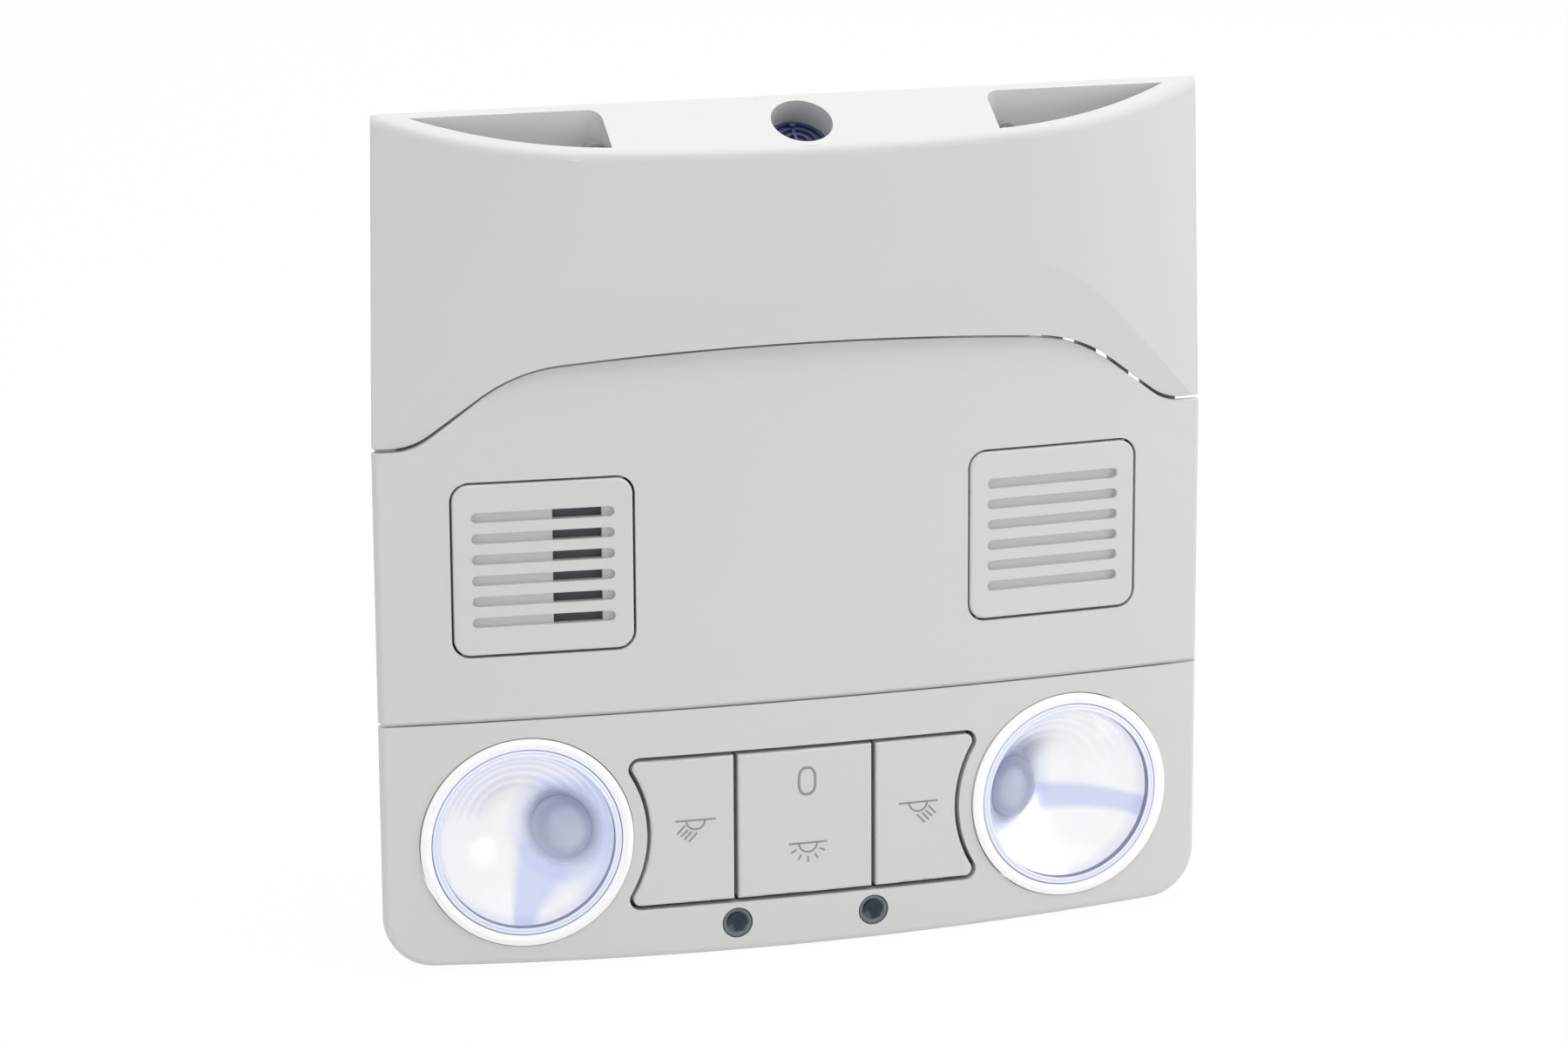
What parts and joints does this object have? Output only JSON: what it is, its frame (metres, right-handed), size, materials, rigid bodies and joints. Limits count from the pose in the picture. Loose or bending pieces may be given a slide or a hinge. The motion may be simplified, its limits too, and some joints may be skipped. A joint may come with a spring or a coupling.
{
  "type": "car courtesy light",
  "caption": "Overhead courtesy light for a car roof: grey trim with round reading lamps, press buttons, a mode rocker and slotted grilles under a bulging upper cover",
  "frame": {"origin": "midway between the two roof screws, on the plane of the roof lining", "axes": "+X to the right seen from the cabin, +Y into the roof, +Z to the windscreen end"},
  "size_m": [0.17, 0.038, 0.1714],
  "materials": {
    "trim": "fine grained, pale warm grey",
    "lamp_ring": "smooth, bright silver white",
    "lens": "clear with fine ribs, faintly blue",
    "reflector": "bright metallised bowl",
    "bulb": "clear glass",
    "sensor": "dark blue, moulded",
    "foam": "soft black foam",
    "capsule": "plain drawn",
    "switch_body": "black, moulded",
    "inner_moulding": "black, moulded",
    "carrier": "mid grey, moulded",
    "screw": "zinc plated",
    "board": "green solder mask",
    "ambient_lamp": "pale yellow",
    "ambient_window": "dark teal, clear",
    "connector": "ivory, moulded",
    "contact": "tin plated",
    "clip": "bent spring sheet"
  },
  "bodies": {
    "housing": {"upper_cover": "trim", "centre_panel": "trim", "lamp_bezel": "trim", "sensor_grille": "sensor", "microphone_seal": "foam", "microphone": "capsule", "mode_switches": "switch_body", "switch_frame": "inner_moulding", "carrier": "carrier", "moulding_screws": "screw", "circuit_board": "board", "ambient_lamps": "ambient_lamp", "rear_hood": "inner_moulding", "hood_screws": "screw", "connector": "connector", "contacts": "contact", "grille_left": "trim", "lamp_ring_left": "lamp_ring", "lens_left": "lens", "reflector_left": "reflector", "bulb_holder_left": "inner_moulding", "bulb_left": "bulb", "push_switch_left": "switch_body", "led_window_left": "ambient_window", "retaining_clip_left": "clip", "grille_right": "trim", "lamp_ring_right": "lamp_ring", "lens_right": "lens", "reflector_right": "reflector", "bulb_holder_right": "inner_moulding", "bulb_right": "bulb", "push_switch_right": "switch_body", "led_window_right": "ambient_window", "retaining_clip_right": "clip"},
    "button_left": {"button_left": "trim", "push_switch_plunger_left": "switch_body"},
    "button_right": {"button_right": "trim", "push_switch_plunger_right": "switch_body"},
    "rocker": {"rocker": "trim"}
  },
  "joints": [
    {"name": "button_left_press", "type": "slide", "parent": "housing", "child": "button_left", "axis": [0, 1, 0], "range_m": [0, 0.0016], "stiffness_N_per_m": 400},
    {"name": "button_right_press", "type": "slide", "parent": "housing", "child": "button_right", "axis": [0, 1, 0], "range_m": [0, 0.0016], "stiffness_N_per_m": 400},
    {"name": "rocker_tilt", "type": "hinge", "parent": "housing", "child": "rocker", "pos_m": [0, 0.0052, -0.0558], "axis": [1, 0, 0], "range_deg": [-3, 3]}
  ]
}
